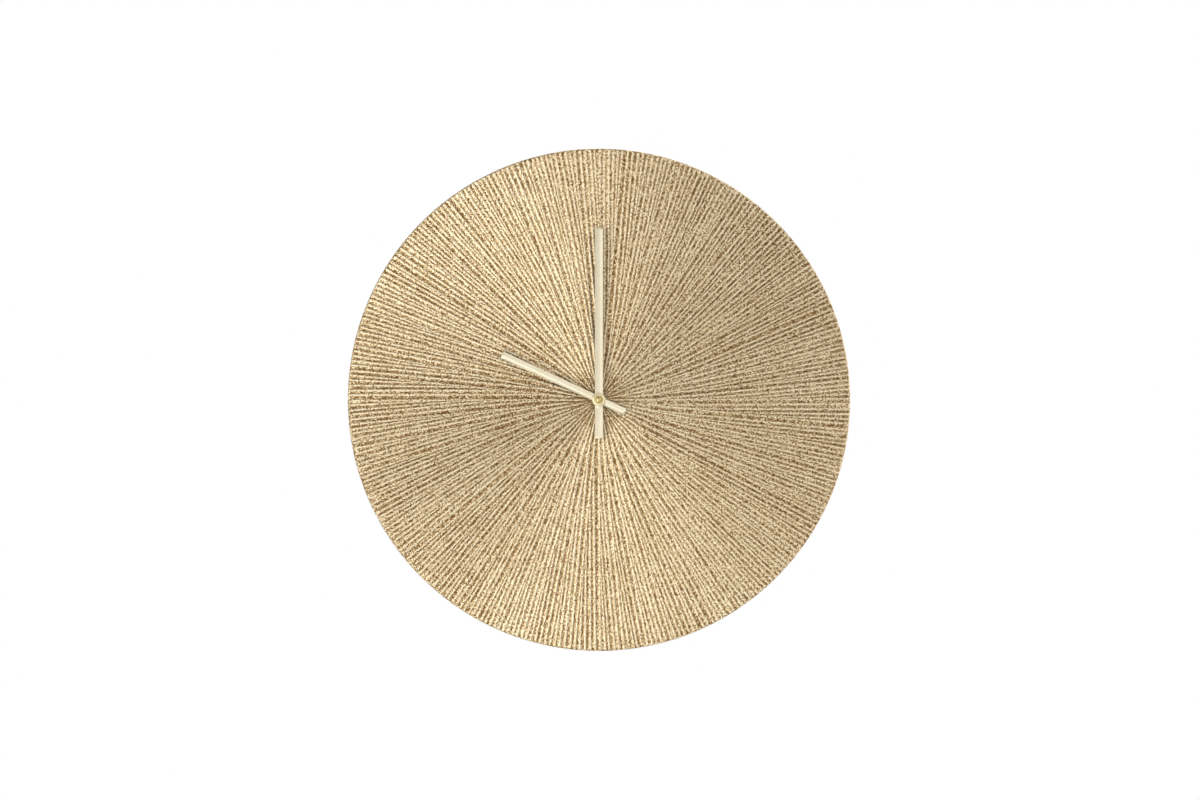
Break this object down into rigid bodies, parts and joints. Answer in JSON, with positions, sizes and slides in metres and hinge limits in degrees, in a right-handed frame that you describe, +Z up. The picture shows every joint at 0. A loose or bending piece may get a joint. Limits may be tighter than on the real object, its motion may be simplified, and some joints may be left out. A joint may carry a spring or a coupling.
{
  "type": "wall clock",
  "caption": "Round sunburst wall clock with a ribbed cast disc, two baton hands, a quartz movement behind the disc and a keyhole hanger.",
  "frame": {"origin": "on the hands' axis, in the plane of the wall that the bumpers rest on", "axes": "+Z up to twelve o'clock, +Y into the wall (the dial faces -Y), +X to the right as seen from the front"},
  "size_m": [0.45, 0.0356, 0.45],
  "materials": {
    "cast_brass": "cast aluminium with an antique brass finish, buffed rib crests over darker rough valleys",
    "hand_brass": "aluminium with a satin pale brass plating",
    "nut_brass": "polished brass",
    "steel": "nickel-plated steel",
    "zinc": "zinc-plated steel",
    "copper": "enamelled copper wire, seen as one winding",
    "rubber": "matt moulded rubber",
    "black_plastic": "fine-textured moulded black plastic",
    "white_plastic": "moulded natural white plastic",
    "board_green": "solder-mask green board",
    "magnet": "sintered magnet",
    "cell_metal": "bright metal can ends",
    "cell_print": "plain printed plastic sleeve"
  },
  "bodies": {
    "clock": {"dial_disc": "cast_brass", "fixing_washer": "nut_brass", "fixing_nut": "nut_brass", "rubber_gasket": "rubber", "movement_front": "black_plastic", "movement_case": "black_plastic", "train_bridge": "white_plastic", "stator": "zinc", "coil_core": "zinc", "coil_bobbin": "white_plastic", "coil_winding": "copper", "stator_screw_1": "steel", "stator_screw_2": "steel", "circuit_board": "board_green", "quartz_crystal": "steel", "timer_chip": "black_plastic", "contact_negative": "steel", "contact_positive": "steel", "hanger_plate": "zinc", "hanger_spacer_left": "zinc", "hanger_screw_left": "steel", "hanger_spacer_right": "zinc", "hanger_screw_right": "steel", "bumper_1": "rubber", "bumper_screw_1": "steel", "bumper_2": "rubber", "bumper_screw_2": "steel", "bumper_3": "rubber", "bumper_screw_3": "steel", "bumper_4": "rubber", "bumper_screw_4": "steel"},
    "minute": {"minute_hand": "hand_brass", "cap_nut": "nut_brass", "cannon_pinion": "nut_brass"},
    "hour": {"hour_hand": "hand_brass", "hour_wheel": "white_plastic"},
    "motion": {"motion_wheel": "white_plastic"},
    "knob": {"setting_knob": "white_plastic"},
    "clutch": {"minute_wheel": "white_plastic"},
    "third": {"third_wheel": "white_plastic"},
    "seconds": {"seconds_wheel": "white_plastic"},
    "fifth": {"fifth_wheel": "white_plastic"},
    "rotor": {"rotor": "white_plastic", "rotor_magnet": "magnet"},
    "battery": {"cell_can": "cell_metal", "cell_sleeve": "cell_print"}
  },
  "joints": [
    {"name": "minute_turn", "type": "hinge", "parent": "clock", "child": "minute", "pos_m": [0, 0, 0], "axis": [0, 1, 0], "continuous": true},
    {"name": "hour_turn", "type": "hinge", "parent": "clock", "child": "hour", "pos_m": [0, 0, 0], "axis": [0, 1, 0], "continuous": true},
    {"name": "motion_turn", "type": "hinge", "parent": "clock", "child": "motion", "pos_m": [0.00752, 0, -0.00274], "axis": [0, 1, 0], "continuous": true},
    {"name": "knob_turn", "type": "hinge", "parent": "clock", "child": "knob", "pos_m": [0.01555, 0, -0.00519], "axis": [0, 1, 0], "continuous": true},
    {"name": "seconds_turn", "type": "hinge", "parent": "clock", "child": "seconds", "pos_m": [0, 0, 0], "axis": [0, 1, 0], "continuous": true},
    {"name": "clutch_turn", "type": "hinge", "parent": "clock", "child": "clutch", "pos_m": [0, 0, 0], "axis": [0, 1, 0], "continuous": true},
    {"name": "third_turn", "type": "hinge", "parent": "clock", "child": "third", "pos_m": [-0.00935, 0, 0.0054], "axis": [0, 1, 0], "continuous": true},
    {"name": "fifth_turn", "type": "hinge", "parent": "clock", "child": "fifth", "pos_m": [0.00735, 0, 0.00617], "axis": [0, 1, 0], "continuous": true},
    {"name": "rotor_turn", "type": "hinge", "parent": "clock", "child": "rotor", "pos_m": [0.01426, 0, 0.00868], "axis": [0, 1, 0], "continuous": true},
    {"name": "battery_slide", "type": "slide", "parent": "clock", "child": "battery", "axis": [0, 1, 0], "range_m": [0, 0.02]}
  ],
  "couplings": [
    {"joint": "hour_turn", "follows": "minute_turn", "ratio": 0.083333},
    {"joint": "motion_turn", "follows": "minute_turn", "ratio": -0.33333},
    {"joint": "knob_turn", "follows": "minute_turn", "ratio": 0.83333},
    {"joint": "third_turn", "follows": "seconds_turn", "ratio": -0.13333},
    {"joint": "clutch_turn", "follows": "seconds_turn", "ratio": 0.016667},
    {"joint": "fifth_turn", "follows": "seconds_turn", "ratio": -5},
    {"joint": "rotor_turn", "follows": "seconds_turn", "ratio": 30}
  ]
}
